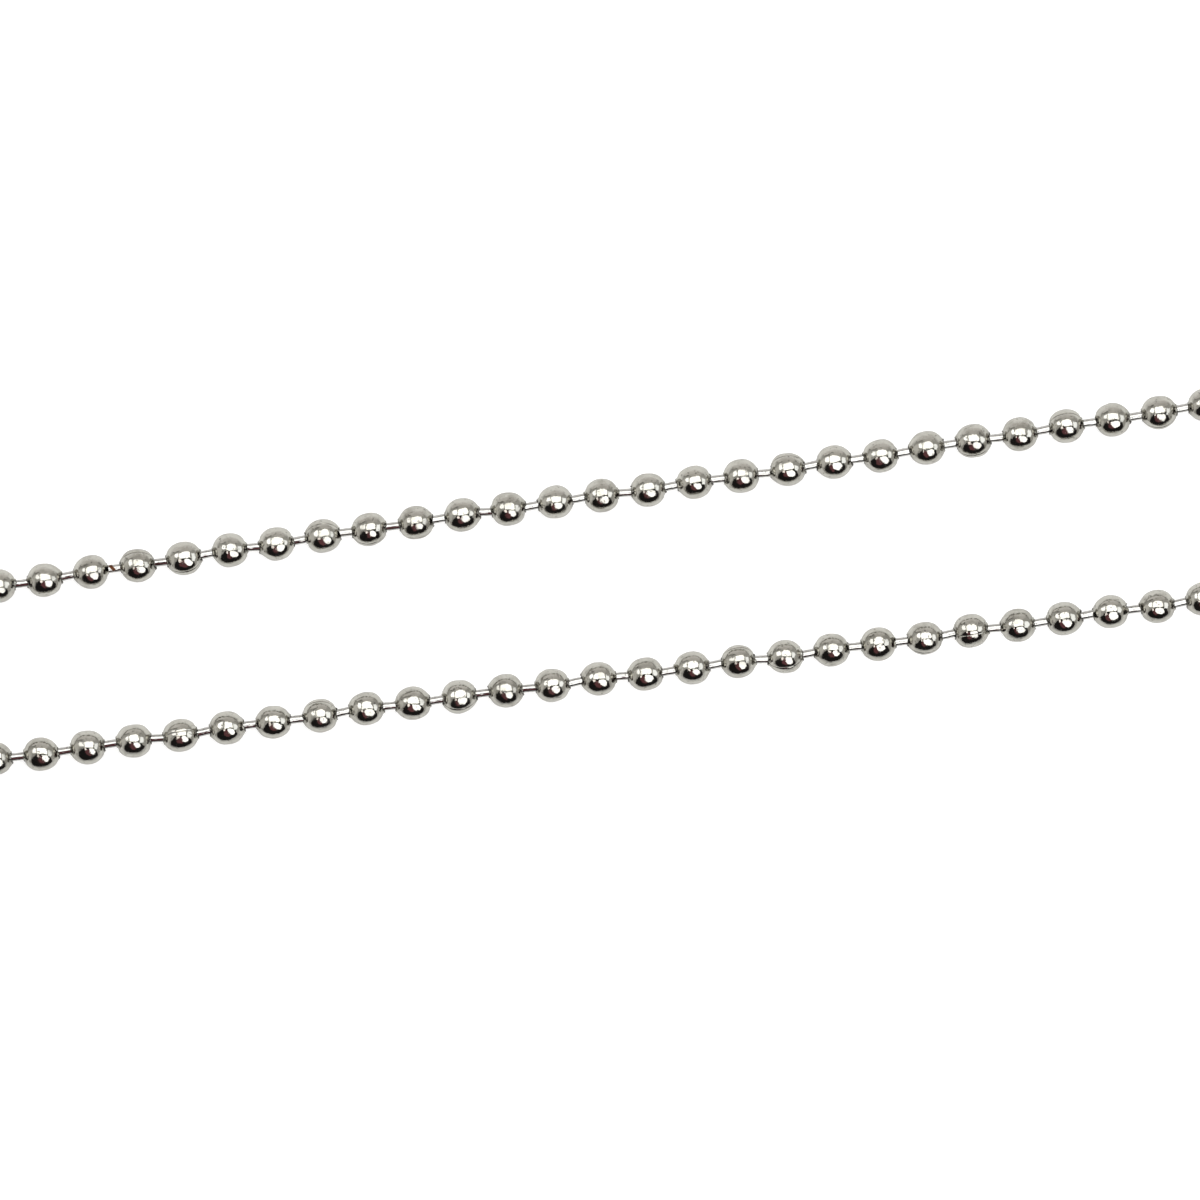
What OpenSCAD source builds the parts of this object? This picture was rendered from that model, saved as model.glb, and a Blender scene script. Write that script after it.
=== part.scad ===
// Ball chain necklace, lying closed on a flat surface.
// Hollow balls are joined by short headed rods, and a plain sleeve holds the chain's two end balls.
// +X runs from the narrow turn to the wide turn, +Z is up, and the chain rests on Z = 0.

/* [Balls] */
// Outside diameter of each ball
ball_d = 3.2; // [3:0.1:3.8]
// Thickness of a ball's shell
shell_wall = 0.19; // [0.16:0.01:0.22]
// How far the neck round each hole stands past the ball's round
neck_proud = 0.1; // [0.06:0.01:0.16]
// Width of the rim at the end of a neck
neck_rim = 0.12; // [0.08:0.01:0.16]
// Angle round the ball's centre from the hole's axis to where a neck's side runs into the shell
neck_spread = 45; // [40:1:49]

/* [Rods] */
// Diameter of the rods that join the balls
rod_d = 0.67; // [0.56:0.01:0.7]
// Distance between two neighbouring balls' rounds on a straight run
ball_gap = 1.3; // [1.2:0.05:1.8]
// Least room round a rod in its hole in the narrow turn
rod_room = 0.11; // [0.1:0.01:0.14]
// How far a rod's head reaches past the edge of its hole
head_catch = 0.03; // [0.02:0.01:0.05]
// Gap between the two heads inside a ball
head_gap = 0.11; // [0.1:0.01:0.2]

/* [Connector] */
// Distance between the centres of the chain's two end balls
end_ball_span = 6.5; // [5.5:0.1:8]
// Play round the end balls in the sleeve
sleeve_play = 0.12; // [0.1:0.01:0.2]
// Thickness of the sleeve's wall
sleeve_wall = 0.3; // [0.2:0.05:0.5]
// Rounding of the sleeve's ends
end_round = 0.12; // [0.05:0.01:0.2]
// Width of the slot along the sleeve's top
slot_w = 1.04; // [0.92:0.02:1.14]

/* [Necklace] */
// Length round the closed necklace, to the nearest whole rod
necklace_length = 457; // [430:1:560]
// Radius of the narrow turn
narrow_turn_r = 8.2; // [7.8:0.1:12]
// Angle between each long run and the necklace's middle line
run_splay = 0.485; // [0.1:0.005:1]
// Radius of the bends that open the runs out towards the wide turn
flare_r = 90; // [60:1:120]
// Angle that each of those bends turns through
flare_turn = 30; // [24:1:36]
// How far round the chain the connector lies from the middle of the wide turn
connector_shift = 0.9; // [-1.5:0.1:1.5]
// Straight stretch of the chain's middle line past each end of the connector
straight_past = 0.3; // [0.2:0.1:3]
// Slow sway of the long runs to either side
sway = 0.1; // [0:0.01:0.3]
// Length of one wave of that sway
sway_wave = 77; // [50:1:150]
// Unevenness of single balls on the long runs to either side
wander = 0.06; // [0:0.01:0.1]

/* [Hidden] */
$fn = 48;
cut = 1;
// Degrees from one ball to the next in the rule that scatters them
scatter = 137.5;
// How much more a rod tilts in its hole where the narrow turn starts than in its middle
turn_entry = 1.16;
// Times that the balls' axes are evened out between their rods
settling = 5;

ball_r = ball_d / 2;
rod_r = rod_d / 2;
pitch = ball_d + ball_gap;

// The whole chain has one rod fewer than balls, and the span between its end balls closes it
rod_count = round((necklace_length - end_ball_span) / pitch);
loop_len = rod_count * pitch + end_ball_span;

// A neck's hole, which runs from the neck's tip to the shell's inside and is wide enough for a tilted rod
inner_r = ball_r - shell_wall;
neck_tip = ball_r + neck_proud;
turn_tilt = turn_entry * asin(pitch / (2 * narrow_turn_r));
function hole_len(r) = neck_tip - sqrt(inner_r ^ 2 - r ^ 2);
function hole_for(len) = rod_r / cos(turn_tilt) + len / 2 * tan(turn_tilt) + rod_room;
hole_r = hole_for(hole_len(hole_for(neck_proud + shell_wall)));
hole_mid = neck_tip - hole_len(hole_r) / 2;
rim_r = hole_r + neck_rim;
neck_side = (ball_r - shell_wall / 2) * [sin(neck_spread), cos(neck_spread)];

// A rod, from its middle to the centre of each head
head_r = hole_r + head_catch;
head_mid = pitch / 2 - head_r - head_gap / 2;

// The connector's sleeve, whose axis passes through both end balls
sleeve_in_r = ball_r + sleeve_play;
sleeve_r = sleeve_in_r + sleeve_wall;
cavity_half = end_ball_span / 2 + neck_tip + sleeve_play;
sleeve_half = cavity_half + sleeve_wall;
rod_drop = (sleeve_r - ball_r) / 2;
end_hole_r = rod_r + rod_drop + rod_room;
mouth_r = ball_r + sleeve_play / 2;

// The middle line of half the necklace, from the middle of the wide turn to that of the narrow one.
// Each leg has a radius, positive where it turns left and 0 where it is straight, and a length.
connector_reach = sleeve_half + abs(connector_shift) + straight_past;
run_slope = run_splay + flare_turn;
flare_in = flare_r * (cos(run_splay) - cos(run_slope));
wide_share = arc_len(1, 90 + run_slope) / cos(run_slope);
wide_base = narrow_turn_r * cos(run_splay) + flare_in - connector_reach;
bends_len = connector_reach + wide_base * wide_share + arc_len(flare_r, flare_turn)
    + arc_len(narrow_turn_r, 90 - run_splay);
run_len = (loop_len / 2 - bends_len) / (1 + wide_share * sin(run_splay));
wide_turn_r = (wide_base + run_len * sin(run_splay)) / cos(run_slope);
function leg_radius(i) = legs[i][0];
function leg_length(i) = legs[i][1];
legs = [
    [0, connector_reach],
    [wide_turn_r, arc_len(wide_turn_r, 90 + run_slope)],
    [-flare_r, arc_len(flare_r, flare_turn)],
    [0, run_len],
    [narrow_turn_r, arc_len(narrow_turn_r, 90 - run_splay)],
];

function arc_len(r, angle) = r * angle * PI / 180;
function arc_angle(r, dist) = r == 0 ? 0 : dist / r * 180 / PI;

// The point and heading at a distance along a leg that starts at p with a heading
function along(p, heading, r, dist) =
    let (turned = heading + arc_angle(r, dist))
    r == 0
        ? [p[0] + dist * cos(heading), p[1] + dist * sin(heading), heading]
        : [p[0] + r * (sin(turned) - sin(heading)), p[1] + r * (cos(heading) - cos(turned)), turned];

// The point and heading at a distance along the half from the wide turn
function half_route(dist, i = 0, p = [0, 0, 90]) =
    dist <= leg_length(i) || i == len(legs) - 1
        ? along(p, p[2], leg_radius(i), dist)
        : half_route(dist - leg_length(i), i + 1, along(p, p[2], leg_radius(i), leg_length(i)));

// The same anywhere round the loop, whose other half mirrors the first
function route(dist) =
    dist <= loop_len / 2
        ? half_route(dist)
        : let (p = half_route(loop_len - dist)) [p[0], -p[1], 180 - p[2]];

// How far a ball lies to the left of the middle line, which the bends draw it on to
run_to = loop_len / 2 - arc_len(narrow_turn_r, 90 - run_splay);
run_from = run_to - run_len;
function on_run(dist) = let (d = min(dist, loop_len - dist)) d > run_from && d < run_to;
function aside(i, dist) =
    on_run(dist) ? wander * sin(scatter * i) - sway * sin(360 * (dist - loop_len / 2) / sway_wave) : 0;

// The sleeve lifts the chain's two end balls off the surface that the others lie on
function raw_centre(i) =
    let (dist = connector_shift + end_ball_span / 2 + i * pitch, p = route(dist), a = aside(i, dist))
    [p[0] - a * sin(p[2]), p[1] + a * cos(p[2]), i == 0 || i == rod_count ? sleeve_r : ball_r];

// The origin lies under the middle of the whole
raw_centres = [for (i = [0:rod_count]) raw_centre(i)];
sleeve_raw = route(connector_shift);
low_x = min([for (c = raw_centres) c[0]]) - ball_r;
high_x = sleeve_raw[0] + sleeve_r;
low_y = min([for (c = raw_centres) c[1]]) - ball_r;
high_y = max([for (c = raw_centres) c[1]]) + ball_r;
middle = [(low_x + high_x) / 2, (low_y + high_y) / 2, 0];

// Each ball turns until its axis lies halfway between its two rods, or its one rod and the sleeve
centres = [for (c = raw_centres) c - middle];
function unit(v) = v / norm(v);
function link_from(axes, i) =
    i == rod_count
        ? unit(centres[0] - centres[i])
        : unit(centres[i + 1] - centres[i] - hole_mid * (axes[i] + axes[i + 1]));
function settled(axes, rounds) =
    rounds < 1
        ? axes
        : settled([for (i = [0:rod_count])
            unit(axes[i] + unit(link_from(axes, i) + link_from(axes, i == 0 ? rod_count : i - 1)))],
            rounds - 1);
axes = settled([for (c = centres) [0, 0, 0]], settling);

// Stands children's own Z axis along a direction at a point
module placed(p, direction) {
    translate(p)
        rotate([0, acos(unit(direction)[2]), atan2(direction[1], direction[0])])
            children();
}

// Half of a section through a ball, cut along its axis: the shell and its two necks
module ball_section() {
    neck = [[0, 0], neck_side, [rim_r, neck_tip], [0, neck_tip]];
    difference() {
        union() {
            circle(ball_r);
            polygon(neck);
            mirror([0, 1]) polygon(neck);
        }
        circle(inner_r);
        translate([hole_r - 2 * ball_d, -ball_d]) square(2 * ball_d);
    }
}

module ball() {
    rotate_extrude() ball_section();
}

// A straight wire with a round head at each end
module headed_rod() {
    rotate_extrude() {
        intersection() {
            union() {
                translate([0, head_mid]) circle(head_r);
                translate([0, -head_mid]) circle(head_r);
                translate([0, -head_mid]) square([rod_r, 2 * head_mid]);
            }
            translate([0, -pitch]) square([pitch, 2 * pitch]);
        }
    }
}

// Half of a section through one end of the sleeve's outer form or its hollow
module sleeve_section(r, half) {
    intersection() {
        translate([0, -half]) square([r, 2 * half]);
        circle(half + end_round);
    }
}

module chain_balls() {
    color("silver")
        for (i = [0:rod_count])
            placed(centres[i], axes[i]) ball();
}

// Each rod lies midway between the holes that its two heads are held behind
module chain_rods() {
    color("gainsboro")
        for (i = [0:rod_count - 1]) {
            from = centres[i] + hole_mid * axes[i];
            to = centres[i + 1] - hole_mid * axes[i + 1];
            placed((from + to) / 2, to - from) headed_rod();
        }
}

// One plain sleeve, slotted along its top for the rods, with a mouth that lets a ball in
module connector_sleeve() {
    color("lightgray")
        translate([sleeve_raw[0], sleeve_raw[1], sleeve_r] - middle)
            rotate([0, -90, sleeve_raw[2]])
                difference() {
                    rotate_extrude()
                        difference() {
                            sleeve_section(sleeve_r, sleeve_half);
                            sleeve_section(sleeve_in_r, cavity_half);
                        }
                    cylinder(r = end_hole_r, h = 2 * sleeve_half + 2 * cut, center = true);
                    translate([0, -slot_w / 2, -sleeve_half - cut])
                        cube([sleeve_r + cut, slot_w, 2 * sleeve_half + 2 * cut]);
                    rotate([0, 90, 0]) cylinder(r = mouth_r, h = sleeve_r + cut);
                }
}

chain_balls();
chain_rods();
connector_sleeve();
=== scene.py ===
"""Dress a packed ball chain necklace and light it on a pale floor.

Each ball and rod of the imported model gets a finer, plated piece in its own place. Geometry nodes
string the pieces along the chain. The connector gets thin sheet with rounded edges, and the stage
is a pale floor under soft light cards.
"""

from collections import namedtuple
from math import acos, asin, cos, hypot, pi, radians, sin

import bmesh
import bpy
import numpy as np
from bpy.props import (
    FloatProperty,
    FloatVectorProperty,
    IntProperty,
    PointerProperty,
)
from bpy.types import Operator, Panel, PropertyGroup
from mathutils import Matrix, Vector


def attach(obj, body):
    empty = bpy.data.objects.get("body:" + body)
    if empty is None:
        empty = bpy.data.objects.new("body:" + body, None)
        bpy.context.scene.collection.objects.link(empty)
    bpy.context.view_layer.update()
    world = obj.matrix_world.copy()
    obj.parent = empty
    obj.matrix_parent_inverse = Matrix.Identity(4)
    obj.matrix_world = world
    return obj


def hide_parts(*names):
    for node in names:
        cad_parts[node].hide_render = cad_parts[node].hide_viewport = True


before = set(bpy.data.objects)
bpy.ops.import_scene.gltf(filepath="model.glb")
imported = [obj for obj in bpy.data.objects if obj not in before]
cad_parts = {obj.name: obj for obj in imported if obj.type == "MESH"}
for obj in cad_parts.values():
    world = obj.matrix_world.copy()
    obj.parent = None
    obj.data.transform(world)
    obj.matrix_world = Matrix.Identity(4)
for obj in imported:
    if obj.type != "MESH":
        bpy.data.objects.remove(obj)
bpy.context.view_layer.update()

bl_info = {
    "name": "Ball chain necklace",
    "version": (1, 0, 0),
    "blender": (4, 5, 0),
    "location": "3D View > Sidebar > Ball chain",
    "description": "Dresses a ball chain necklace and lights it on a pale floor",
    "category": "Object",
}

MM = 0.001
# Points closer than this are one
MERGE = 1e-7
# How far the node editor sets nodes apart
NODE_STEP = (220, 240)

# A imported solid's end is made of its points within this of the farthest one
END_BAND = 0.1 * MM
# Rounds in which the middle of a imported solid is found
MIDDLE_ROUNDS = 3
# What turns a noise's usual stray from its middle into about 1
NOISE_GAIN = 3.0
# How many times finer a lip's stray is than the dents
LIP_FINENESS = 3.6

# Rows of a ball's sheet: along its outside, round the curled rim in degrees, and inside in degrees
OUTSIDE_ROWS = 9
CURL_ANGLES = (5, 50, 90, 130, 175)
INSIDE_ANGLES = (60, 30)
# Room between the curled rim and where the ball's outside meets the collar
COLLAR_ROOM = 0.04 * MM
# How far the hole's straight side runs in, and how much wider it is there
HOLE_DEPTH = 0.2 * MM
HOLE_FLARE = 0.03 * MM
# Where the inside starts beside the hole, as a share of its radius
INSIDE_TOP = 0.95
# Where a lip and a notch start, as shares of the collar's height over the waist
LIP_START = 0.9
NOTCH_START = 0.97
# Columns beside the seam as multiples of its width, and how much of its depth each one takes
SEAM_COLUMNS = ((0.0, 1.0), (0.9, 0.3), (1.6, 0.12), (3.0, 0.0))

# Rows of a rod: along half of its wire, and round its head
WIRE_ROWS = 7
HEAD_ROWS = 6
# Width of the head's foot as a multiple of the wire's, and how sharply it meets the wire
FOOT_FLARE = 1.06
FOOT_STEP = 0.02 * MM

# Rows near a cut edge of the connector's sheet, as shares of the edge's rounding
EDGE_STEPS = (0.0, 0.08, 0.3, 0.6, 1.0)
# Further rows: shares across an end, corners in degrees, and shares along the side and of the
# half mouth, whose rows lie closest at its edge
END_STEPS = (0.45, 0.75)
CORNER_ANGLES = (0, 22, 45, 68, 90)
SIDE_STEPS = (0.8, 0.6, 0.45)
MOUTH_STEPS = (1.08, 1.02, 1.0, 0.98, 0.93, 0.84, 0.7, 0.5, 0.25)

# Steps along each side of a card's outline, and from its middle to the outline
CARD_STEPS = 4
# The camera's sensor in its own millimetres, and how far it sees in metres
SENSOR_WIDTH = 36.0
CAMERA_REACH = 20.0

# Sizes of the patterns in the balls' plating, and the depth of its fine pressing marks
CLOUDS = 0.9 * MM
BREAKS = 0.35 * MM
FLECKS = 0.3 * MM
PRESSING = 0.5 * MM
PRESSING_DEPTH = 0.03 * MM
# The same on the rods. Streaks are stretched along the wire, so their scale there is smaller.
STREAKS = 0.09 * MM
STREAK_SCALE = (1, 1, 0.12)
STREAK_DEPTH = 0.008 * MM
SPECKS = 0.16 * MM
# The tarnished band's turn about the view, and where its halves fade across it and beside it
STAIN_TURN = radians(35)
STAIN_ACROSS = (0.12 * MM, 0.20 * MM)
STAIN_BESIDE = (0.40 * MM, 0.50 * MM)
# The same on the connector, whose lines run along it
RUBBED = 2.2 * MM
LINES = 0.10 * MM
LINE_SCALE = (1, 0.08, 1)


def length(name, description, millimetres):
    """A length that a user may change, given in millimetres."""
    return FloatProperty(
        name=name,
        description=description,
        default=millimetres * MM,
        precision=5,
        unit="LENGTH",
        subtype="DISTANCE",
    )


def angle(name, description, degrees):
    """An angle that a user may change, given in degrees."""
    return FloatProperty(
        name=name, description=description, default=radians(degrees), subtype="ANGLE"
    )


def share(name, description, value):
    """A share from 0 to 1 that a user may change."""
    return FloatProperty(
        name=name, description=description, default=value, min=0, max=1, subtype="FACTOR"
    )


def colour(name, description, value):
    """A colour that a user may change."""
    return FloatVectorProperty(
        name=name, description=description, default=value, size=3, min=0, max=1, subtype="COLOR"
    )


class BallSizes(PropertyGroup):
    """Sizes of the hollow balls"""

    diameter: length("Diameter", "Outside diameter of a ball", 3.22)
    half_length: length("Half length", "From a ball's centre to where its round would close", 1.69)
    squareness: FloatProperty(
        name="Squareness",
        description="2 for an ellipse along the ball, more for a fuller round",
        default=2.15,
        min=2,
        max=4,
    )
    tip: length("Tip", "From a ball's centre to the end of its collar", 1.68)
    hole: length("Hole", "Radius of the hole that a rod passes through", 0.47)
    rim: length("Rim", "Thickness of the sheet's edge round a hole", 0.11)
    wall: length("Wall", "Thickness of the sheet", 0.19)
    notch: length("Notch", "Depth of the notch where the seam meets a hole", 0.11)
    seam_width: length("Seam width", "Width of the seam along a ball", 0.11)
    seam_depth: length("Seam depth", "Depth of the seam along a ball", 0.05)
    dent: length("Dents", "How far the pressed sheet strays from round", 0.09)
    dent_size: length("Dent size", "Distance from one dent to the next", 2.2)
    ear: length("Uneven lips", "How far a lip strays from round", 0.12)
    tilt: angle("Looseness", "How far a ball may lean on its rods", 3)
    columns: IntProperty(
        name="Columns", description="Faces round a ball", default=38, min=12, max=96
    )
    seed: IntProperty(name="Seed", description="Picks how each ball is turned", default=7)


class RodSizes(PropertyGroup):
    """Sizes of the headed rods"""

    diameter: length("Diameter", "Diameter of the drawn wire", 0.76)
    head: length("Head", "Radius of the round head at each end", 0.52)
    reach: length("Reach", "From a rod's middle to the end of its head", 2.15)
    wave: length("Unevenness", "How far the wire strays from round", 0.02)
    wave_size: length("Wave size", "Distance from one uneven place to the next", 0.5)
    tilt: angle("Looseness", "How far a rod may lean in its two holes", 3)
    stain_at: FloatVectorProperty(
        name="Stain",
        description="Where the one tarnished band lies",
        default=(-0.07895, 0.0085, 0.00185),
        subtype="TRANSLATION",
        unit="LENGTH",
        precision=5,
    )
    columns: IntProperty(
        name="Columns", description="Faces round a rod", default=20, min=8, max=64
    )
    seed: IntProperty(name="Seed", description="Picks how each rod is turned", default=3)


class ConnectorSizes(PropertyGroup):
    """Sizes of the connector's sleeve"""

    wall: length("Wall", "Thickness of the sheet", 0.3)
    slot: length("Slot", "Width of the slot along the top", 1.04)
    mouth: length("Mouth", "Radius of the opening that lets a ball in", 1.66)
    end_hole: length("End hole", "Radius of the hole in each end", 0.655)
    corner: length("Corner", "Rounding between the sleeve's side and its ends", 0.45)
    edge: length("Edge", "Rounding of the sheet's cut edges", 0.12)
    columns: IntProperty(
        name="Columns", description="Faces round the sleeve", default=72, min=24, max=160
    )


class Finish(PropertyGroup):
    """Colours and gloss of the plating"""

    plate: colour("Plate", "Colour of the bright plating", (0.44, 0.431, 0.394))
    wire: colour("Wire", "Colour of the drawn wire's plating", (0.45, 0.447, 0.437))
    edge: colour("Edge tint", "Tint of the plating at a glancing angle", (0.65, 0.65, 0.65))
    worn: colour("Worn plate", "Colour where the plating has dulled", (0.28, 0.27, 0.24))
    # The grime colour gives the dark flecks and specks, and is also painted shade round the balls'
    # holes
    grime_and_shade: colour("Grime", "Colour of the dirt in creases and seams", (0.035, 0.028, 0.024))
    tarnish: colour("Tarnish", "Colour of the stained band on a rod", (0.10, 0.04, 0.019))
    gloss: share("Roughness", "Roughness of the bright plating", 0.045)
    dull: share("Dull roughness", "Roughness where the plating has dulled", 0.16)


class StageSettings(PropertyGroup):
    """Floor, lights and camera"""

    aim: FloatVectorProperty(
        name="Aim",
        description="Point in the middle of the picture",
        default=(-0.03302, -0.00112, 0.0016),
        subtype="TRANSLATION",
        unit="LENGTH",
        precision=5,
    )
    picture_width: length("Picture width", "Width that the picture takes in", 115.07)
    turn: angle("Turn", "How far the chain rises towards the picture's right", 7.95)
    lean: angle("Lean", "How far the camera leans to the picture's top from straight above", 3)
    camera_height: length("Camera height", "From the chain to the camera", 1100)
    card_height: length("Card height", "From the chain to a light card", 900)
    floor_size: length("Floor size", "Width of the floor", 9000)
    floor_colour: colour("Floor colour", "Colour of the pale floor", (0.5, 0.5, 0.497))
    floor_glow: share("Floor glow", "Light that the floor gives off by itself", 0.70)
    floor_gloss: share("Floor roughness", "Roughness of the floor's clear coat", 0.15)
    gloss_reach: length("Gloss reach", "From the middle to where the coat starts to fade", 200)
    room: colour("Room", "Light that comes from the rest of the room", (0.60, 0.587, 0.56))


# Meshes and nodes


def new_object(name, mesh):
    """Put a mesh in the scene as an untransformed object."""
    made = bpy.data.objects.new(name, mesh)
    bpy.context.scene.collection.objects.link(made)
    return made


def revolved(name, section, angles, closed, marks):
    """Turn a section of (radius, height) points round Z.

    A closed section is a ring, and an open one meets the axis at both ends. Marks are point
    attributes by name, each a function of the radius, the height and the angle.
    """
    rings, columns = len(section), len(angles)
    points = [(r * cos(a), r * sin(a), h) for r, h in section for a in angles]
    faces = []
    for ring in range(rings if closed else rings - 1):
        here, there = ring * columns, (ring + 1) % rings * columns
        for column in range(columns):
            beside = (column + 1) % columns
            faces.append((here + column, here + beside, there + beside, there + column))
    mesh = bpy.data.meshes.new(name)
    mesh.from_pydata(points, [], faces)
    for mark, value in marks.items():
        layer = mesh.attributes.new(mark, "FLOAT", "POINT")
        layer.data.foreach_set(
            "value", [float(value(r, h, a)) for r, h in section for a in angles]
        )
    where = mesh.attributes.new("place_in_piece", "FLOAT_VECTOR", "POINT")
    where.data.foreach_set("vector", [c for p in points for c in p])
    return mesh


def face_outwards(mesh):
    """Merge doubles, close the poles and turn all faces outwards."""
    sheet = bmesh.new()
    sheet.from_mesh(mesh)
    bmesh.ops.remove_doubles(sheet, verts=sheet.verts, dist=MERGE)
    bmesh.ops.dissolve_degenerate(sheet, edges=sheet.edges, dist=MERGE)
    bmesh.ops.recalc_face_normals(sheet, faces=sheet.faces)
    sheet.to_mesh(mesh)
    sheet.free()
    mesh.polygons.foreach_set("use_smooth", [True] * len(mesh.polygons))
    mesh.update()
    return mesh


def loose_parts(sheet):
    """The points of each loose part of a sheet, in the order of the sheet's own points."""
    left = set(sheet.verts)
    for start in sheet.verts:
        if start not in left:
            continue
        left.remove(start)
        part, edge = [start], [start]
        while edge:
            for link in edge.pop().link_edges:
                for vert in link.verts:
                    if vert in left:
                        left.remove(vert)
                        part.append(vert)
                        edge.append(vert)
        yield np.array([v.co for v in part])


def middle_and_axis(points):
    """The middle between a solid's two far ends, and the direction from one end to the other.

    A ball's farthest points are its two rims and a rod's are the tips of its two heads.
    """
    middle = (points.min(axis=0) + points.max(axis=0)) / 2
    for _ in range(MIDDLE_ROUNDS):
        reach = np.linalg.norm(points - middle, axis=1)
        far = points[reach > reach.max() - END_BAND]
        side = (far - middle) @ (far[0] - middle) > 0
        ends = far[side].mean(axis=0), far[~side].mean(axis=0)
        middle = (ends[0] + ends[1]) / 2
    axis = ends[0] - ends[1]
    return middle, axis / np.linalg.norm(axis)


def solids_of(node):
    """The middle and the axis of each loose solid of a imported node.

    They come in an order that never varies: the lower half of the loop and then the upper one,
    each from the narrow turn to the wide one, with every axis pointing the same way.
    """
    sheet = bmesh.new()
    sheet.from_mesh(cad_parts[node].data)
    bmesh.ops.remove_doubles(sheet, verts=sheet.verts, dist=MERGE)
    solids = sorted(map(middle_and_axis, loose_parts(sheet)), key=lambda solid: solid[0][0])
    sheet.free()
    found = []
    for upper in (False, True):
        half = [solid for solid in solids if (solid[0][1] >= 0) == upper]
        middles = [middle for middle, _ in half]
        neighbours = zip(middles[:1] + middles, middles[1:] + middles[-1:])
        for (middle, axis), (before, after) in zip(half, neighbours):
            found.append((middle, axis if axis @ (after - before) > 0 else -axis))
    return found


def add_node(tree, kind, inputs=None, **settings):
    """Add a node, and set or link its inputs by name or place."""
    made = tree.nodes.new(kind)
    for key, value in settings.items():
        setattr(made, key, value)
    for key, value in (inputs or {}).items():
        if isinstance(value, bpy.types.NodeSocket):
            tree.links.new(value, made.inputs[key])
        else:
            made.inputs[key].default_value = value
    return made


def maths(tree, operation, first, second=0.0):
    """One sum of two values."""
    return add_node(tree, "ShaderNodeMath", {0: first, 1: second}, operation=operation).outputs[0]


def set_out(tree):
    """Lay a tree's nodes out in columns, each to the right of what feeds it."""
    depth = {n: 0 for n in tree.nodes}
    for _ in tree.nodes:
        for link in tree.links:
            depth[link.to_node] = max(depth[link.to_node], depth[link.from_node] + 1)
    rows = {}
    for made in tree.nodes:
        row = rows[depth[made]] = rows.get(depth[made], -1) + 1
        made.location = (depth[made] * NODE_STEP[0], -row * NODE_STEP[1])


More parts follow.
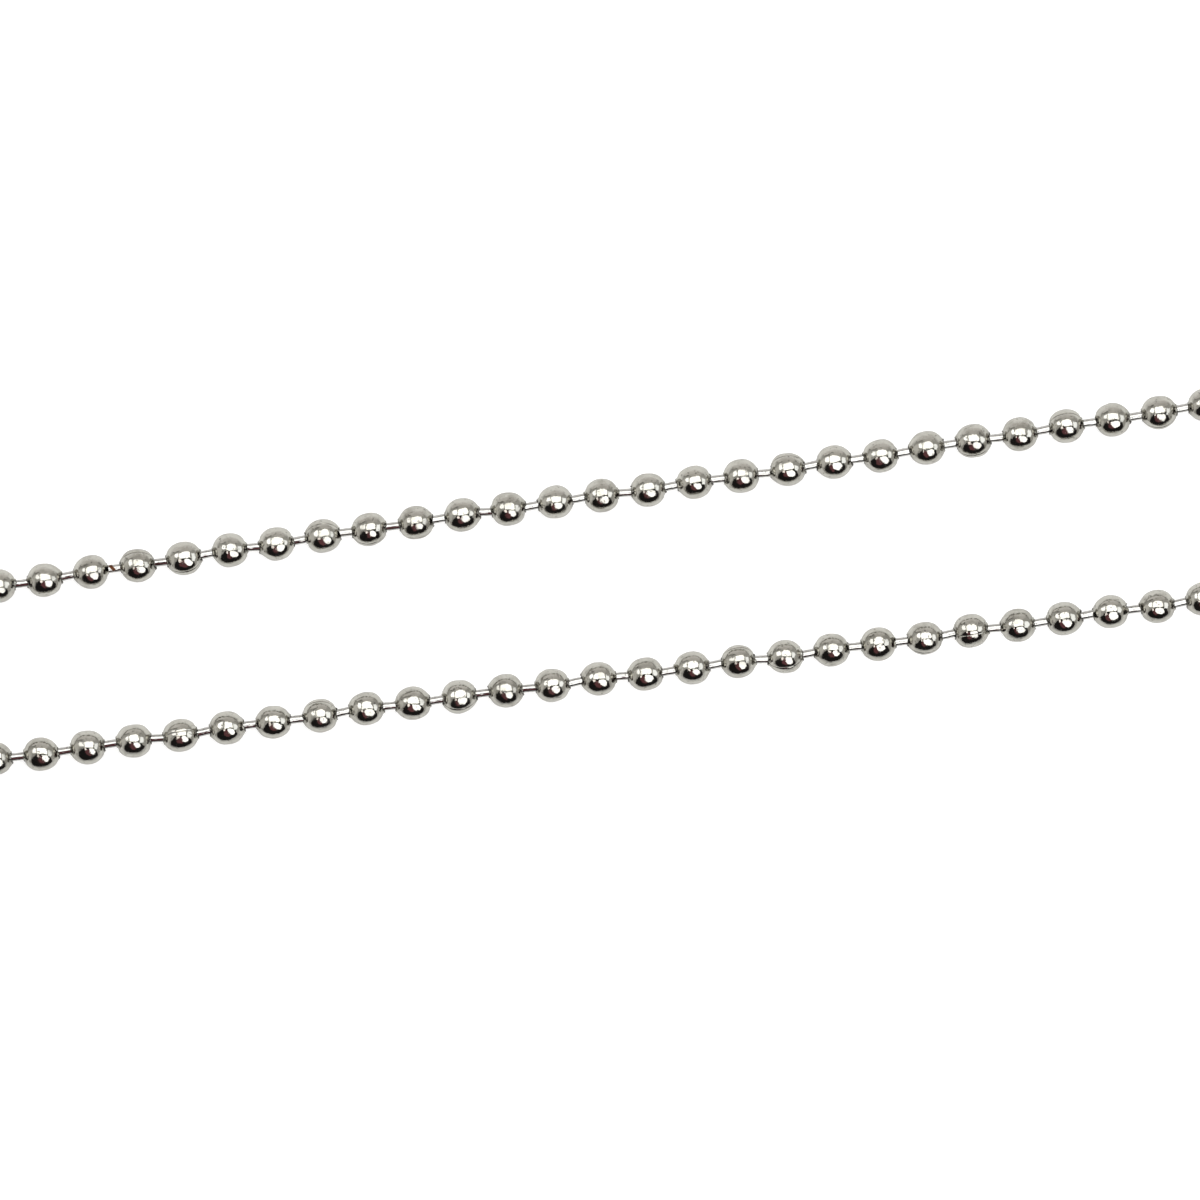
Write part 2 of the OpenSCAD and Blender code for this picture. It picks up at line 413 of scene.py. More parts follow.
def stringing_tree():
    """Geometry nodes that put a piece at each place of a string, each turned and dented anew."""
    tree = bpy.data.node_groups.new("String of pieces", "GeometryNodeTree")
    ports = [
        ("Places", "NodeSocketGeometry"),
        ("Piece", "NodeSocketObject"),
        ("Finish", "NodeSocketMaterial"),
        ("Seed", "NodeSocketInt"),
        ("Dents", "NodeSocketFloat"),
        ("Dent Size", "NodeSocketFloat"),
        ("Uneven Lips", "NodeSocketFloat"),
        ("Looseness", "NodeSocketFloat"),
    ]
    for name, kind in ports:
        tree.interface.new_socket(name, in_out="INPUT", socket_type=kind)
    tree.interface.new_socket("String", in_out="OUTPUT", socket_type="NodeSocketGeometry")
    given = add_node(tree, "NodeGroupInput").outputs

    # Turn each piece along the chain, by its own angle about its axis, and a little askew
    axis = add_node(
        tree, "GeometryNodeInputNamedAttribute", {"Name": "axis"}, data_type="FLOAT_VECTOR"
    )
    along = add_node(
        tree, "FunctionNodeAlignRotationToVector", {"Vector": axis.outputs["Attribute"]}, axis="Z"
    )
    roll = add_node(
        tree,
        "FunctionNodeRandomValue",
        {"Min": 0.0, "Max": 2 * pi, "Seed": given["Seed"]},
        data_type="FLOAT",
    )
    about = add_node(
        tree, "FunctionNodeAxisAngleToRotation", {"Axis": (0, 0, 1), "Angle": roll.outputs["Value"]}
    )
    turned = add_node(
        tree,
        "FunctionNodeRotateRotation",
        {"Rotation": along.outputs[0], "Rotate By": about.outputs[0]},
        rotation_space="LOCAL",
    )
    lean = add_node(
        tree,
        "FunctionNodeRandomValue",
        {"Min": (-1, -1, 0), "Max": (1, 1, 0), "Seed": given["Seed"]},
        data_type="FLOAT_VECTOR",
    )
    askew = add_node(
        tree,
        "ShaderNodeVectorMath",
        {0: lean.outputs["Value"], "Scale": given["Looseness"]},
        operation="SCALE",
    )
    leaning = add_node(tree, "FunctionNodeEulerToRotation", {0: askew.outputs[0]})
    loose = add_node(
        tree,
        "FunctionNodeRotateRotation",
        {"Rotation": turned.outputs[0], "Rotate By": leaning.outputs[0]},
        rotation_space="LOCAL",
    )
    piece = add_node(tree, "GeometryNodeObjectInfo", {"Object": given["Piece"]})
    placed = add_node(
        tree,
        "GeometryNodeInstanceOnPoints",
        {
            "Points": given["Places"],
            "Instance": piece.outputs["Geometry"],
            "Rotation": loose.outputs[0],
        },
    )
    chance = add_node(
        tree,
        "FunctionNodeRandomValue",
        {"Min": 0.0, "Max": 1.0, "Seed": maths(tree, "ADD", given["Seed"], 1.0)},
        data_type="FLOAT",
    )
    told = add_node(
        tree,
        "GeometryNodeStoreNamedAttribute",
        {"Geometry": placed.outputs[0], "Name": "chance", "Value": chance.outputs["Value"]},
        data_type="FLOAT",
        domain="INSTANCE",
    )
    real = add_node(tree, "GeometryNodeRealizeInstances", {"Geometry": told.outputs[0]})

    # Press soft dents into the sheet, and more into what is marked as lip
    position = add_node(tree, "GeometryNodeInputPosition")
    normal = add_node(tree, "GeometryNodeInputNormal")
    per_metre = maths(tree, "DIVIDE", 1.0, given["Dent Size"])
    dents = add_node(
        tree,
        "ShaderNodeTexNoise",
        {"Vector": position.outputs[0], "Scale": per_metre, "Detail": 2.0},
    )
    ears = add_node(
        tree,
        "ShaderNodeTexNoise",
        {
            "Vector": position.outputs[0],
            "Scale": maths(tree, "MULTIPLY", per_metre, LIP_FINENESS),
            "Detail": 0.0,
        },
    )
    lip = add_node(
        tree, "GeometryNodeInputNamedAttribute", {"Name": "neck"}, data_type="FLOAT"
    )
    strays = []
    for pattern, reach in ((dents, given["Dents"]), (ears, given["Uneven Lips"])):
        level = maths(tree, "SUBTRACT", pattern.outputs[0], 0.5)
        most = maths(tree, "MULTIPLY", reach, NOISE_GAIN)
        strays.append(maths(tree, "MULTIPLY", level, most))
    at_lip = maths(tree, "MULTIPLY", strays[1], lip.outputs["Attribute"])
    offset = add_node(
        tree,
        "ShaderNodeVectorMath",
        {0: normal.outputs[0], "Scale": maths(tree, "ADD", strays[0], at_lip)},
        operation="SCALE",
    )
    pressed = add_node(
        tree,
        "GeometryNodeSetPosition",
        {"Geometry": real.outputs[0], "Offset": offset.outputs[0]},
    )
    smooth = add_node(tree, "GeometryNodeSetShadeSmooth", {"Geometry": pressed.outputs[0]})
    finished = add_node(
        tree,
        "GeometryNodeSetMaterial",
        {"Geometry": smooth.outputs[0], "Material": given["Finish"]},
    )
    add_node(tree, "NodeGroupOutput", {"String": finished.outputs[0]})
    set_out(tree)
    return tree


def string_pieces(name, solids, piece, inputs):
    """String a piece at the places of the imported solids, and give the result as one plain mesh."""
    places = bpy.data.meshes.new(f"{name}_places")
    places.from_pydata([tuple(middle) for middle, _ in solids], [], [])
    axes = places.attributes.new("axis", "FLOAT_VECTOR", "POINT")
    axes.data.foreach_set("vector", [float(c) for _, axis in solids for c in axis])
    made = new_object(name, places)
    pattern = new_object(f"{name}_pattern", piece)
    tree = bpy.data.node_groups.get("String of pieces") or stringing_tree()
    modifier = made.modifiers.new("String", "NODES")
    modifier.node_group = tree
    for key, value in {"Piece": pattern, **inputs}.items():
        modifier[tree.interface.items_tree[key].identifier] = value
    evaluated = made.evaluated_get(bpy.context.evaluated_depsgraph_get())
    whole = bpy.data.meshes.new_from_object(evaluated)
    whole.name = name
    made.modifiers.clear()
    made.data = whole
    bpy.data.objects.remove(pattern)
    bpy.data.meshes.remove(places)
    bpy.data.meshes.remove(piece)
    return made


# Finishes


def plated(name, finish):
    """Start a plated material. Gives the material, its tree and its shader."""
    made = bpy.data.materials.new(name)
    made.use_nodes = True
    tree = made.node_tree
    shader = tree.nodes["Principled BSDF"]
    shader.inputs["Metallic"].default_value = 1.0
    shader.inputs["Specular Tint"].default_value = (*finish.edge, 1.0)
    made.diffuse_color = (*finish.plate, 1.0)
    return made, tree, shader


def mixed(tree, amount, first, second):
    """A colour between two others."""
    made = add_node(tree, "ShaderNodeMix", {"Factor": amount}, data_type="RGBA")
    for socket, value in ((made.inputs[6], first), (made.inputs[7], second)):
        if isinstance(value, bpy.types.NodeSocket):
            tree.links.new(value, socket)
        else:
            socket.default_value = (*value, 1.0)
    return made.outputs[2]


def noise(tree, vector, size, detail=2.0):
    """A soft noise whose features are about a given size in metres."""
    return add_node(
        tree, "ShaderNodeTexNoise", {"Vector": vector, "Scale": 1 / size, "Detail": detail}
    ).outputs[0]


def ranged(tree, value, low, high, to_low=0.0, to_high=1.0):
    """A value taken from one range to another, and held in it."""
    return add_node(
        tree,
        "ShaderNodeMapRange",
        {"Value": value, 1: low, 2: high, 3: to_low, 4: to_high},
    ).outputs[0]


def marked(tree, name):
    """A mark that the mesh carries at each point."""
    return add_node(tree, "ShaderNodeAttribute", attribute_name=name).outputs["Fac"]


def emboss(tree, shader, height, strength, depth):
    """Press a pattern into a finish."""
    marks = add_node(
        tree, "ShaderNodeBump", {"Strength": strength, "Distance": depth, "Height": height}
    )
    tree.links.new(marks.outputs[0], shader.inputs["Normal"])


def ball_metal(finish):
    """Plating on the balls: dull clouds, painted shade round the holes, a dark seam and fine
    pressing marks.
    """
    made, tree, shader = plated("ball_metal", finish)
    here = add_node(tree, "ShaderNodeTexCoord").outputs["Object"]
    clouds = ranged(tree, noise(tree, here, CLOUDS, 4.0), 0.42, 0.66)
    own = ranged(tree, marked(tree, "chance"), 0.0, 1.0, 0.1, 0.8)
    dull = maths(tree, "MULTIPLY", clouds, own)
    plate = mixed(tree, dull, finish.plate, finish.worn)
    breaks = ranged(tree, noise(tree, here, BREAKS), 0.35, 0.6)
    # Painted shade on each hole's curled rim and inside, with the dark seam, broken up by noise
    dirt_and_shade = maths(
        tree,
        "MAXIMUM",
        maths(tree, "MULTIPLY", marked(tree, "rim"), 0.9),
        maths(tree, "MULTIPLY", marked(tree, "seam"), 0.85),
    )
    broken = maths(tree, "MULTIPLY", dirt_and_shade, ranged(tree, breaks, 0.0, 1.0, 0.35, 1.0))
    flecks = ranged(tree, noise(tree, here, FLECKS, 3.0), 0.60, 0.72, 0.0, 0.6)
    dark_marks_and_shade = maths(tree, "MAXIMUM", broken, flecks)
    tree.links.new(mixed(tree, dark_marks_and_shade, plate, finish.grime_and_shade), shader.inputs["Base Color"])
    rough = ranged(tree, clouds, 0.0, 1.0, finish.gloss, finish.dull)
    tree.links.new(
        maths(tree, "MAXIMUM", rough, maths(tree, "MULTIPLY", dark_marks_and_shade, 0.45)),
        shader.inputs["Roughness"],
    )
    emboss(tree, shader, noise(tree, here, PRESSING, 3.0), 0.8, PRESSING_DEPTH)
    set_out(tree)
    return made


def rod_metal(finish, stain_at):
    """Plating on the drawn rods: streaks along the wire, dark specks, and one tarnished band."""
    made, tree, shader = plated("rod_metal", finish)
    here = add_node(tree, "ShaderNodeTexCoord").outputs["Object"]
    in_piece = add_node(
        tree, "ShaderNodeAttribute", attribute_name="place_in_piece"
    ).outputs["Vector"]
    drawn = add_node(tree, "ShaderNodeMapping", {"Vector": in_piece, "Scale": STREAK_SCALE})
    streaks = noise(tree, drawn.outputs[0], STREAKS)
    specks = ranged(tree, noise(tree, here, SPECKS), 0.62, 0.70)
    plate = mixed(tree, ranged(tree, streaks, 0.4, 0.7, 0.0, 0.5), finish.wire, finish.worn)
    spotted = mixed(tree, maths(tree, "MULTIPLY", specks, 0.8), plate, finish.grime_and_shade)
    near = add_node(
        tree,
        "ShaderNodeMapping",
        {"Vector": here, "Location": tuple(stain_at), "Rotation": (0, 0, STAIN_TURN)},
        vector_type="TEXTURE",
    )
    apart = add_node(tree, "ShaderNodeSeparateXYZ", {0: near.outputs[0]})
    across = ranged(tree, maths(tree, "ABSOLUTE", apart.outputs[0]), *STAIN_ACROSS, 1.0, 0.0)
    beside = ranged(tree, maths(tree, "ABSOLUTE", apart.outputs[1]), *STAIN_BESIDE, 1.0, 0.0)
    band = maths(tree, "MULTIPLY", across, beside)
    tree.links.new(mixed(tree, band, spotted, finish.tarnish), shader.inputs["Base Color"])
    rough = ranged(tree, streaks, 0.3, 0.8, finish.gloss, finish.dull)
    tree.links.new(
        maths(tree, "MAXIMUM", rough, maths(tree, "MULTIPLY", band, 0.6)),
        shader.inputs["Roughness"],
    )
    emboss(tree, shader, streaks, 0.3, STREAK_DEPTH)
    set_out(tree)
    return made


def sleeve_metal(finish):
    """Plating on the connector: rubbed clouds and fine marks along the sleeve."""
    made, tree, shader = plated("sleeve_metal", finish)
    here = add_node(tree, "ShaderNodeTexCoord").outputs["Object"]
    clouds = ranged(tree, noise(tree, here, RUBBED, 3.0), 0.42, 0.7)
    plate = mixed(tree, maths(tree, "MULTIPLY", clouds, 0.5), finish.plate, finish.worn)
    drawn = add_node(tree, "ShaderNodeMapping", {"Vector": here, "Scale": LINE_SCALE})
    lines = noise(tree, drawn.outputs[0], LINES, 3.0)
    specks = ranged(tree, noise(tree, here, FLECKS), 0.66, 0.72)
    tree.links.new(
        mixed(tree, maths(tree, "MULTIPLY", specks, 0.6), plate, finish.grime_and_shade),
        shader.inputs["Base Color"],
    )
    tree.links.new(
        ranged(tree, clouds, 0.0, 1.0, finish.gloss, finish.dull), shader.inputs["Roughness"]
    )
    emboss(tree, shader, lines, 0.25, STREAK_DEPTH)
    set_out(tree)
    return made


# Pieces


def ball_section(sizes):
    """Half of a ball's sheet in section: its outside from the waist, its curled rim and its inside.

    Each is a list of (radius, height). The long round of the sheet ends in a short collar round
    the hole.
    """
    round_r, half, power = sizes.diameter / 2, sizes.rim / 2, 2 / sizes.squareness
    foot_r = sizes.hole + sizes.rim + COLLAR_ROOM
    foot = acos((foot_r / round_r) ** (1 / power))
    outside = [
        (round_r * cos(t) ** power, sizes.half_length * sin(t) ** power)
        for t in (foot * i / OUTSIDE_ROWS for i in range(OUTSIDE_ROWS + 1))
    ]
    curl = [
        (sizes.hole + half + half * cos(t), sizes.tip - half + half * sin(t))
        for t in (radians(a) for a in CURL_ANGLES)
    ]
    inner_r = round_r - sizes.wall
    inside = [
        (sizes.hole, sizes.tip - HOLE_DEPTH),
        (sizes.hole + HOLE_FLARE, inner_r * INSIDE_TOP),
    ]
    inside += [(inner_r * cos(t), inner_r * sin(t)) for t in (radians(a) for a in INSIDE_ANGLES)]
    return outside, curl, inside


def ball_mesh(sizes):
    """One hollow ball with a collar round each hole and a seam from hole to hole."""
    outside, curl, inside = ball_section(sizes)
    upper = outside + curl + inside
    section = upper + [(r, -h) for r, h in reversed(upper[1:])]
    seam = sizes.seam_width / sizes.diameter
    near = [seam * step for step, _ in SEAM_COLUMNS]
    rest = sizes.columns - 2 * len(near) + 1
    gap = 2 * (pi - near[-1]) / (rest + 1)
    angles = (
        [-a for a in reversed(near[1:])] + near + [near[-1] + gap * (i + 1) for i in range(rest)]
    )
    foot_h = outside[-1][1]
    shell_r = sizes.diameter / 2 - sizes.wall / 2

    # Marks the curled rim and inside of each hole, which the finish darkens as painted shade
    def hole_shade_mark(r, h, a):
        return 1.0 if abs(h) > foot_h + MERGE else 0.0

    def on_neck(r, h, a):
        return min(1.0, max(0.0, (abs(h) / foot_h - LIP_START) / (1 - LIP_START)))

    def on_seam(r, h, a):
        return 1.0 if abs(a) < seam * 0.5 and hypot(r, h) > shell_r else 0.0

    marks = {"rim": hole_shade_mark, "neck": on_neck, "seam": on_seam}
    mesh = revolved("ball", section, angles, True, marks)

    # Press the seam in, deepest in its middle, and pull its ends back from the holes
    depths = {angle: depth for angle, (_, depth) in zip(near, SEAM_COLUMNS)}
    notch_h = foot_h * NOTCH_START
    places = [(r, h, a) for r, h in section for a in angles]
    for vert, (r, h, a) in zip(mesh.vertices, places):
        if abs(a) > near[-1]:
            continue
        if hypot(r, h) > shell_r:
            vert.co -= Vector((cos(a), sin(a), 0)) * sizes.seam_depth * depths[abs(a)]
        end = (abs(h) - notch_h) / (sizes.tip - notch_h)
        if end > 0:
            vert.co.z -= (1 if h > 0 else -1) * sizes.notch * end
    return face_outwards(mesh)


def rod_mesh(sizes):
    """One drawn wire with a round head at each end."""
    rod_r, centre = sizes.diameter / 2, sizes.reach - sizes.head
    start = acos(rod_r * FOOT_FLARE / sizes.head)
    head = [
        (sizes.head * cos(t), centre + sizes.head * sin(t))
        for t in (-start + (start + pi / 2) * i / HEAD_ROWS for i in range(HEAD_ROWS))
    ]
    foot = head[0][1]
    wire = [(rod_r, foot * i / WIRE_ROWS) for i in range(WIRE_ROWS)]
    upper = wire + [(rod_r, foot - FOOT_STEP)] + head + [(0.0, sizes.reach)]
    section = [(r, -h) for r, h in reversed(upper[1:])] + upper
    angles = [2 * pi * i / sizes.columns for i in range(sizes.columns)]
    return face_outwards(revolved("rod", section, angles, False, {}))


def finish_piece(piece, node):
    """Hand a finished piece over to the frame."""
    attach(piece, "root")
    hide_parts(node)


class ChainBalls(Operator):
    """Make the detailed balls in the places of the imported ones"""

    bl_idname = "ball_chain.balls"
    bl_label = "Balls"

    def execute(self, context):
        sizes, finish = context.scene.ball_sizes, context.scene.plating
        metal = ball_metal(finish)
        solids = solids_of("chain_balls")
        if len(solids) < 2:
            raise RuntimeError("the packed chain has no balls")
        sides = {
            "balls_upper_run": [s for s in solids if s[0][1] >= 0],
            "balls_lower_run": [s for s in solids if s[0][1] < 0],
        }
        for step, (name, side) in enumerate(sides.items()):
            piece = string_pieces(
                name,
                side,
                ball_mesh(sizes),
                {
                    "Finish": metal,
                    "Seed": sizes.seed + 10 * step,
                    "Dents": sizes.dent,
                    "Dent Size": sizes.dent_size,
                    "Uneven Lips": sizes.ear,
                    "Looseness": sizes.tilt,
                },
            )
            finish_piece(piece, "chain_balls")
        return {"FINISHED"}


class ChainRods(Operator):
    """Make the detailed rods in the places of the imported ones"""

    bl_idname = "ball_chain.rods"
    bl_label = "Rods"

    def execute(self, context):
        sizes, finish = context.scene.rod_sizes, context.scene.plating
        solids = solids_of("chain_rods")
        if not solids:
            raise RuntimeError("the packed chain has no rods")
        piece = string_pieces(
            "rods",
            solids,
            rod_mesh(sizes),
            {
                "Finish": rod_metal(finish, sizes.stain_at),
                "Seed": sizes.seed,
                "Dents": sizes.wave,
                "Dent Size": sizes.wave_size,
                "Uneven Lips": 0.0,
                "Looseness": sizes.tilt,
            },
        )
        finish_piece(piece, "chain_rods")
        return {"FINISHED"}


def sleeve_rows(sizes, outer_r, half):
    """Points of the sheet's middle line, from the hole in one end to that in the other.

    Each is a (radius, height). The rows lie close together at the cut edges, which are rounded.
    """
    mid_r, mid_h = outer_r - sizes.wall / 2, half - sizes.wall / 2
    turn_r = sizes.corner
    cap = [(sizes.end_hole + sizes.edge * s, mid_h) for s in EDGE_STEPS]
    cap += [(sizes.end_hole + (mid_r - turn_r - sizes.end_hole) * s, mid_h) for s in END_STEPS]
    corner = [
        (mid_r - turn_r * (1 - sin(t)), mid_h - turn_r * (1 - cos(t)))
        for t in (radians(a) for a in CORNER_ANGLES)
    ]
    side_h = mid_h - turn_r
    side = [(mid_r, side_h * s) for s in SIDE_STEPS]
    mouth_h = (sizes.mouth**2 - (sizes.slot / 2) ** 2) ** 0.5
    side += [(mid_r, mouth_h * s) for s in MOUTH_STEPS]
    upper = cap + corner + side
    return upper + [(mid_r, 0.0)] + [(r, -h) for r, h in reversed(upper)]


def sleeve_mesh(sizes, outer_r, half):
    """The slotted sleeve round Z, with its slot and mouth towards X and all cut edges rounded."""
    rows = sleeve_rows(sizes, outer_r, half)
    path = np.array(rows)
    run = np.concatenate([[0], np.cumsum(np.linalg.norm(np.diff(path, axis=0), axis=1))])
    tangent = np.gradient(path, axis=0)
    tangent /= np.linalg.norm(tangent, axis=1)[:, None]
    outward = np.stack([-tangent[:, 1], tangent[:, 0]], axis=1)
    outer, inner = [], []
    for (r, h), to_end, normal in zip(rows, np.minimum(run, run[-1] - run), outward):
        open_half = sizes.slot / 2
        if abs(h) < sizes.mouth:
            open_half = max(open_half, (sizes.mouth**2 - h * h) ** 0.5)
        start = asin(min(open_half / r, 1.0))
        edge_turns = [start + sizes.edge * s / r for s in EDGE_STEPS]
        span = 2 * (pi - edge_turns[-1])
        rest = sizes.columns - 2 * len(edge_turns)
        turns = edge_turns + [edge_turns[-1] + span * (i + 1) / (rest + 1) for i in range(rest)]
        turns += [2 * pi - t for t in reversed(edge_turns)]
        for t in turns:
            to_slot = min(t - start, 2 * pi - start - t) * r
            depth = min(1.0, max(0.0, min(to_end, to_slot)) / sizes.edge)
            lift = sizes.wall / 2 * (1 - (1 - depth) ** 2) ** 0.5
            for side, sheet in ((1, outer), (-1, inner)):
                point_r, point_h = r + side * lift * normal[0], h + side * lift * normal[1]
                sheet.append((point_r * cos(t), point_r * sin(t), point_h))
    count = sizes.columns
    faces = []
    for base, flip in ((0, False), (len(outer), True)):
        for i in range(len(rows) - 1):
            for j in range(count - 1):
                a = base + i * count + j
                face = (a, a + 1, a + count + 1, a + count)
                faces.append(face[::-1] if flip else face)
    mesh = bpy.data.meshes.new("connector")
    mesh.from_pydata(outer + inner, [], faces)
    return face_outwards(mesh)


class Connector(Operator):
    """Make the connector's sleeve of thin sheet with rounded edges"""

    bl_idname = "ball_chain.connector"
    bl_label = "Connector"

    def execute(self, context):
        sizes, finish = context.scene.connector_sizes, context.scene.plating
        points = np.array([v.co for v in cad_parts["connector_sleeve"].data.vertices])
        if not len(points):
            raise RuntimeError("the packed connector has no points")
        low, high = points.min(axis=0), points.max(axis=0)
        outer_r, half = (high[0] - low[0]) / 2, (high[1] - low[1]) / 2
        mesh = sleeve_mesh(sizes, outer_r, half)
        centre = Vector(((low[0] + high[0]) / 2, (low[1] + high[1]) / 2, low[2] + outer_r))
        # Lay the sleeve along Y, with its slot upwards
        laid = Matrix(((0, 1, 0), (0, 0, 1), (1, 0, 0))).to_4x4()
        mesh.transform(Matrix.Translation(centre) @ laid)
        mesh.materials.append(sleeve_metal(finish))
        piece = new_object("connector", mesh)
        finish_piece(piece, "connector_sleeve")
        return {"FINISHED"}


# Stage


# What the balls show of the room. An outline's points lie on a ball as the camera sees it, in
# shares of the ball's radius: first along the chain, then across it. Points about 0.8 along it or
# 0.7 across it show the horizon. A card's distance is a multiple of the card height, and its
# colour and strength are those of its light.
Card = namedtuple("Card", "name distance colour strength outline")
CARDS = (
    Card(
        "small_card", 0.80, (1.0, 0.92, 0.88), 2.4,
        ((-0.30, -0.05), (-0.21, -0.05), (-0.20, -0.17), (-0.29, -0.18)),
    ),
    Card(
        "lamp_card", 0.85, (1.0, 1.0, 1.0), 2.9,
        (
            (-0.06, -0.085), (0.10, -0.075), (0.29, -0.09), (0.39, -0.18), (0.42, -0.31),
            (0.37, -0.41), (0.26, -0.48), (0.13, -0.465), (0.0, -0.39), (-0.075, -0.25),
        ),
    ),
    Card(
        "window_card", 0.95, (1.0, 1.0, 0.98), 3.2,
        (
            (-0.25, -0.005), (0.36, -0.02), (0.38, 0.14), (0.35, 0.29), (0.24, 0.36),
            (0.04, 0.38), (-0.12, 0.365), (-0.22, 0.32), (-0.25, 0.18),
        ),
    ),
    Card(
        "left_card", 1.0, (0.98, 0.98, 0.98), 2.8,
        (
            (-0.30, 0.085), (-0.43, 0.06), (-0.51, 0.12),
            (-0.51, 0.25), (-0.44, 0.33), (-0.30, 0.36),
        ),
    ),
    Card(
        "right_card", 1.0, (0.96, 0.98, 1.0), 2.15,
        ((0.42, -0.15), (0.58, -0.18), (0.67, -0.02), (0.64, 0.14), (0.45, 0.21)),
    ),
    Card(
        "maroon_card", 1.1, (1.0, 0.40, 0.44), 0.20,
        (
            (-0.19, -0.12), (-0.05, -0.14), (0.0, -0.36), (0.08, -0.50),
            (-0.10, -0.54), (-0.24, -0.44), (-0.29, -0.28),
        ),
    ),
    Card(
        "dark_card", 1.25, (1.0, 0.9, 0.9), 0.02,
        (
            (-0.34, -0.03), (0.40, -0.03), (0.53, -0.20), (0.60, -0.36), (0.59, -0.53),
            (0.51, -0.62), (0.38, -0.70), (0.19, -0.74), (0.0, -0.745), (-0.19, -0.73),
            (-0.37, -0.68), (-0.50, -0.60), (-0.60, -0.53), (-0.63, -0.37), (-0.57, -0.20),
        ),
    ),
    Card(
        "side_card", 1.3, (1.0, 0.975, 0.93), 0.92,
        (
            (-0.53, 0.34), (-0.53, -0.02), (-0.62, -0.20),
            (-0.74, -0.26), (-0.80, 0.0), (-0.74, 0.18),
        ),
    ),
    Card(
        "ledge_card", 1.2, (1.0, 0.97, 0.94), 0.95,
        (
            (-0.52, 0.45), (-0.30, 0.59), (0.0, 0.645), (0.30, 0.59), (0.52, 0.47),
            (0.54, 0.55), (0.30, 0.67), (0.0, 0.71), (-0.30, 0.67), (-0.55, 0.54),
        ),
    ),
    Card(
        "corner_card", 1.28, (1.0, 0.965, 0.90), 0.25,
        (
            (-0.23, 0.47), (-0.40, 0.43), (-0.54, 0.42), (-0.60, 0.50),
            (-0.46, 0.60), (-0.30, 0.645), (-0.20, 0.63),
        ),
    ),
    Card(
        "wall_card", 1.25, (1.0, 0.965, 0.93), 0.81,
        (
            (-0.16, 0.40), (0.10, 0.40), (0.36, 0.36), (0.48, 0.37), (0.55, 0.42), (0.48, 0.49),
            (0.34, 0.60), (0.175, 0.67), (0.0, 0.69), (-0.175, 0.67), (-0.22, 0.55),
        ),
    ),
)


def glow(name, rgb, strength):
    """A plain surface that gives off light."""
    made = bpy.data.materials.new(name)
    made.use_nodes = True
    tree = made.node_tree
    tree.nodes.clear()
    light = add_node(
        tree, "ShaderNodeEmission", {"Color": (*rgb, 1.0), "Strength": strength}
    )
    add_node(tree, "ShaderNodeOutputMaterial", {"Surface": light.outputs[0]})
    set_out(tree)
    return made


def view_turn(settings):
    """The turn of a view from straight above into that of the leaning camera."""
    top = Vector((sin(settings.turn), cos(settings.turn), 0))
    return Matrix.Rotation(settings.lean, 4, Vector((0, 0, 1)).cross(top))


def towards(along, across, sizes):
    """The way in which a point of a ball throws back a look from straight above."""
    stretch, power = 2 * sizes.half_length / sizes.diameter, sizes.squareness
    part = min(abs(along) / stretch, 1.0)
    girth = (1 - part**power) ** (1 / power)
    up = max(0.0, girth**2 - across**2) ** 0.5
    slope = part ** (power - 1) / stretch * girth ** (2 - power)
    normal = Vector((slope if along > 0 else -slope, across, up)).normalized()
    return 2 * normal.z * normal - Vector((0, 0, 1))


def hang_card(card, settings, sizes):
    """Hang a card that the balls show in its outline. It isn't in the picture itself."""
    corners = [Vector(c) for c in card.outline]
    edge = [
        a.lerp(b, step / CARD_STEPS)
        for a, b in zip(corners, corners[1:] + corners[:1])
        for step in range(CARD_STEPS)
    ]
    middle = sum(edge, Vector((0, 0))) / len(edge)
    rings = [ring / CARD_STEPS for ring in range(1, CARD_STEPS + 1)]
    spots = [middle] + [middle.lerp(e, ring) for ring in rings for e in edge]
    count = len(edge)
    faces = [(0, 1 + i, 1 + (i + 1) % count) for i in range(count)]
    faces += [
        (start + i, start + count + i, start + count + (i + 1) % count, start + (i + 1) % count)
        for start in (1 + ring * count for ring in range(CARD_STEPS - 1))
        for i in range(count)
    ]
    reach, turned = card.distance * settings.card_height, view_turn(settings)
    mesh = bpy.data.meshes.new(card.name)
    points = [Vector(settings.aim) + turned @ towards(*s, sizes) * reach for s in spots]
    mesh.from_pydata([(p.x, p.y, max(p.z, settings.aim[2])) for p in points], [], faces)
    mesh.materials.append(glow(card.name, card.colour, card.strength))
    made = new_object(card.name, mesh)
    made.visible_camera = False


def lay_floor(settings):
    """The pale floor, coated round the necklace. It glows, so the shadows on it stay soft."""
    half = settings.floor_size / 2
    mesh = bpy.data.meshes.new("floor")
    mesh.from_pydata(
        [(-half, -half, 0), (half, -half, 0), (half, half, 0), (-half, half, 0)], [], [(0, 1, 2, 3)]
    )
    pale = bpy.data.materials.new("pale_floor")
    pale.use_nodes = True
    tree = pale.node_tree
    shader = tree.nodes["Principled BSDF"].inputs
    here = add_node(tree, "ShaderNodeTexCoord").outputs["Object"]
    away = add_node(tree, "ShaderNodeVectorMath", {0: here}, operation="LENGTH").outputs["Value"]
    reach = settings.gloss_reach
    tree.links.new(ranged(tree, away, reach, 2 * reach, 1.0, 0.0), shader["Coat Weight"])
    set_out(tree)
    shader["Base Color"].default_value = (*settings.floor_colour, 1)
    shader["Roughness"].default_value = 1.0
    shader["Specular IOR Level"].default_value = 0.0
    shader["Coat Roughness"].default_value = settings.floor_gloss
    shader["Emission Color"].default_value = (1.0, 1.0, 0.99, 1)
    shader["Emission Strength"].default_value = settings.floor_glow
    mesh.materials.append(pale)
    new_object("floor", mesh)


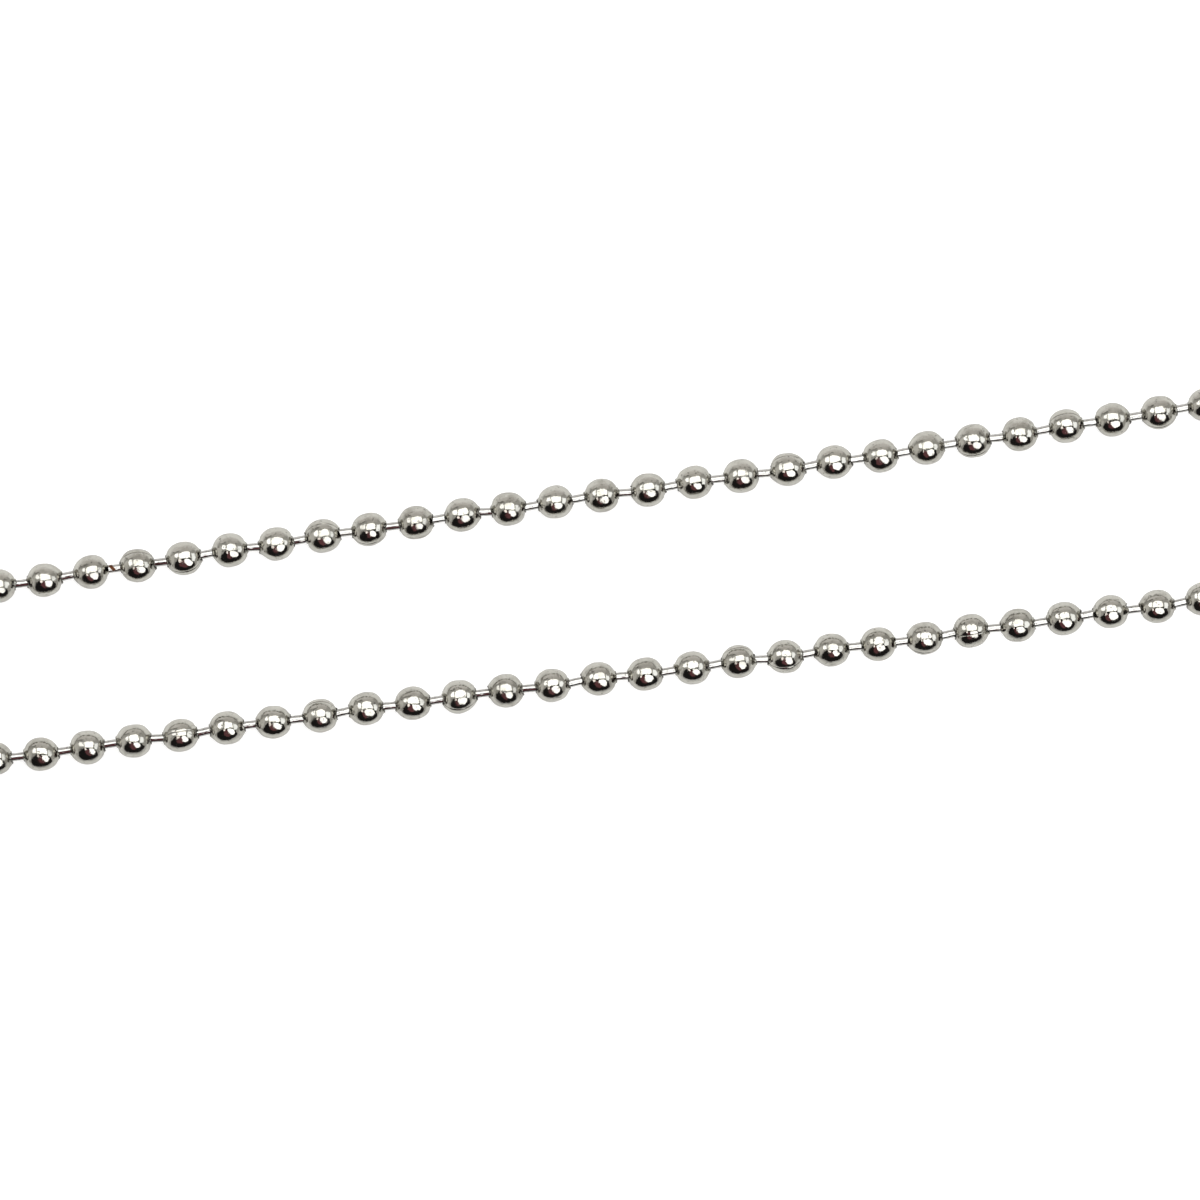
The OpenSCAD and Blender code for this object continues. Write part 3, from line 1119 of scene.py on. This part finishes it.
class Stage(Operator):
    """Make the pale floor, the soft light cards and the camera"""

    bl_idname = "ball_chain.stage"
    bl_label = "Stage"

    def execute(self, context):
        settings = context.scene.stage_settings
        if settings.picture_width <= 0:
            raise RuntimeError("the picture has no width")
        lay_floor(settings)
        for card in CARDS:
            hang_card(card, settings, context.scene.ball_sizes)

        world = bpy.data.worlds.new("room")
        world.use_nodes = True
        world.node_tree.nodes["Background"].inputs["Color"].default_value = (*settings.room, 1)
        context.scene.world = world

        sensor = bpy.data.cameras.new("camera")
        sensor.sensor_width = SENSOR_WIDTH
        sensor.lens = SENSOR_WIDTH * settings.camera_height / settings.picture_width
        sensor.clip_end = CAMERA_REACH
        camera = new_object("camera", sensor)
        camera.matrix_world = (
            Matrix.Translation(settings.aim)
            @ view_turn(settings)
            @ Matrix.Translation((0, 0, settings.camera_height))
            @ Matrix.Rotation(-settings.turn, 4, "Z")
        )
        context.scene.camera = camera
        context.scene.view_settings.view_transform = "Standard"
        return {"FINISHED"}


class BallChainPanel(Panel):
    """Lists the necklace's sizes and its steps"""

    bl_idname = "VIEW3D_PT_ball_chain"
    bl_label = "Ball chain necklace"
    bl_space_type = "VIEW_3D"
    bl_region_type = "UI"
    bl_category = "Ball chain"

    def draw(self, context):
        scene = context.scene
        steps = [
            (scene.ball_sizes, ChainBalls),
            (scene.rod_sizes, ChainRods),
            (scene.connector_sizes, Connector),
            (scene.plating, None),
            (scene.stage_settings, Stage),
        ]
        for group, operator in steps:
            box = self.layout.box()
            for name in type(group).__annotations__:
                box.prop(group, name)
            if operator:
                box.operator(operator.bl_idname)


CLASSES = (
    BallSizes,
    RodSizes,
    ConnectorSizes,
    Finish,
    StageSettings,
    ChainBalls,
    ChainRods,
    Connector,
    Stage,
    BallChainPanel,
)
GROUPS = {
    "ball_sizes": BallSizes,
    "rod_sizes": RodSizes,
    "connector_sizes": ConnectorSizes,
    "plating": Finish,
    "stage_settings": StageSettings,
}


def register():
    for made in CLASSES:
        bpy.utils.register_class(made)
    for name, group in GROUPS.items():
        setattr(bpy.types.Scene, name, PointerProperty(type=group))


def unregister():
    for name in GROUPS:
        delattr(bpy.types.Scene, name)
    for made in reversed(CLASSES):
        bpy.utils.unregister_class(made)


def main():
    """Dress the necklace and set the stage."""
    register()
    bpy.ops.ball_chain.stage()
    bpy.ops.ball_chain.balls()
    bpy.ops.ball_chain.rods()
    bpy.ops.ball_chain.connector()


if __name__ == "__main__":
    main()
